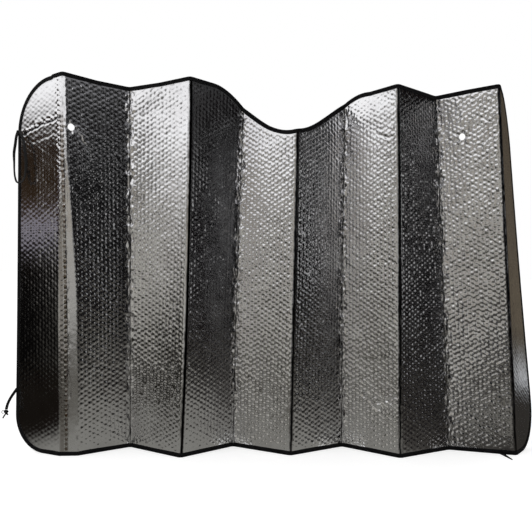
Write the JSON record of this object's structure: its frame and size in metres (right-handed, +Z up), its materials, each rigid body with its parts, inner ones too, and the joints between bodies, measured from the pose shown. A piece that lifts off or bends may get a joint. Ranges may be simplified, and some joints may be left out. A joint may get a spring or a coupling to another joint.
{
  "type": "car sunshade",
  "caption": "Folding windscreen sunshade of silver bubble foil with a black sewn edge, a mirror notch, cup holes and elastic straps.",
  "frame": {"origin": "on the ground under the middle of the standing sheet and its edge tape", "axes": "+X along the shade to the right seen from its front, +Z up from its lower edge to the notched edge, -Y the front that the odd folds come forward to"},
  "size_m": [1.2018, 0.217, 0.8076],
  "materials": {
    "bubble_foil": "bright aluminised film over air bubbles",
    "binding_tape": "matt black woven tape",
    "elastic": "matt black woven elastic"
  },
  "bodies": {
    "root": {"foil_sheet": "bubble_foil", "edge_binding": "binding_tape", "upper_strap_loop": "elastic", "lower_strap": "elastic", "lower_strap_knot": "elastic"}
  },
  "joints": []
}
